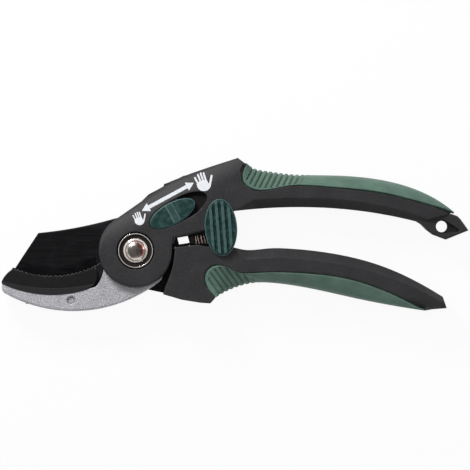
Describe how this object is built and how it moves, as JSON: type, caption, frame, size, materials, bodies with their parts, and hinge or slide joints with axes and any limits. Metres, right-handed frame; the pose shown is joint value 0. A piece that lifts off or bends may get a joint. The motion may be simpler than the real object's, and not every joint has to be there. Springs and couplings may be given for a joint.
{
  "type": "pruning shears",
  "caption": "Hand pruning shears of the anvil type with a hooked jaw, soft grips, a sliding catch and a sliding hand size adjuster.",
  "frame": {"origin": "middle of the lowest face of the part's box, under the shears as they lie on their back", "axes": "+X from the jaws to the handle ends, +Y from the lower to the upper handle, +Z out of the front face"},
  "size_m": [0.2044, 0.067, 0.021],
  "materials": {
    "black_nylon": "glass filled nylon with a fine moulded grain",
    "soft_grip": "soft matt green grip",
    "cast_jaw": "blasted grey casting",
    "pad_plastic": "black pad with a sandy face",
    "coated_blade": "black low friction coating",
    "bright_steel": "polished plating",
    "plain_steel": "plain steel",
    "teal_plastic": "dark teal moulded plastic",
    "spring_wire": "copper coloured spring wire"
  },
  "bodies": {
    "upper_arm": {"upper_handle": "black_nylon", "rear_cover": "black_nylon", "cover_screws": "plain_steel", "upper_grip": "soft_grip", "anvil_jaw": "cast_jaw", "anvil_pad": "pad_plastic", "pad_pin": "plain_steel", "pivot_bolt": "bright_steel", "pivot_cup_washer": "bright_steel", "pivot_bush": "plain_steel", "blade_shims": "plain_steel", "pivot_rear_washer": "plain_steel", "pivot_nut": "plain_steel", "main_spring": "plain_steel"},
    "lower_arm": {"lower_handle": "black_nylon", "lower_grip": "soft_grip", "blade": "coated_blade", "blade_screws": "plain_steel", "keeper_pin": "plain_steel"},
    "adjuster": {"adjuster_button": "teal_plastic", "adjuster_pin": "plain_steel", "adjuster_clip": "plain_steel"},
    "catch": {"catch_button": "teal_plastic", "catch_plate": "plain_steel", "catch_stem": "plain_steel", "catch_spring": "spring_wire", "catch_screw": "plain_steel"}
  },
  "joints": [
    {"name": "handle_hinge", "type": "hinge", "parent": "upper_arm", "child": "lower_arm", "pos_m": [-0.04345, -0.00699, 0.0081], "axis": [0, 0, -1], "range_deg": [0, 30], "stiffness_Nm_per_rad": 1.2, "springref_deg": 49.85, "deforming": ["main_spring"]},
    {"name": "adjuster_slide", "type": "slide", "parent": "upper_arm", "child": "adjuster", "axis": [0.8788, 0.4772, 0], "range_m": [0, 0.0056]},
    {"name": "catch_slide", "type": "slide", "parent": "upper_arm", "child": "catch", "axis": [0.9972, 0.075, 0], "range_m": [0, 0.003], "stiffness_N_per_m": 400, "springref_m": -0.004, "deforming": ["catch_spring"]}
  ]
}
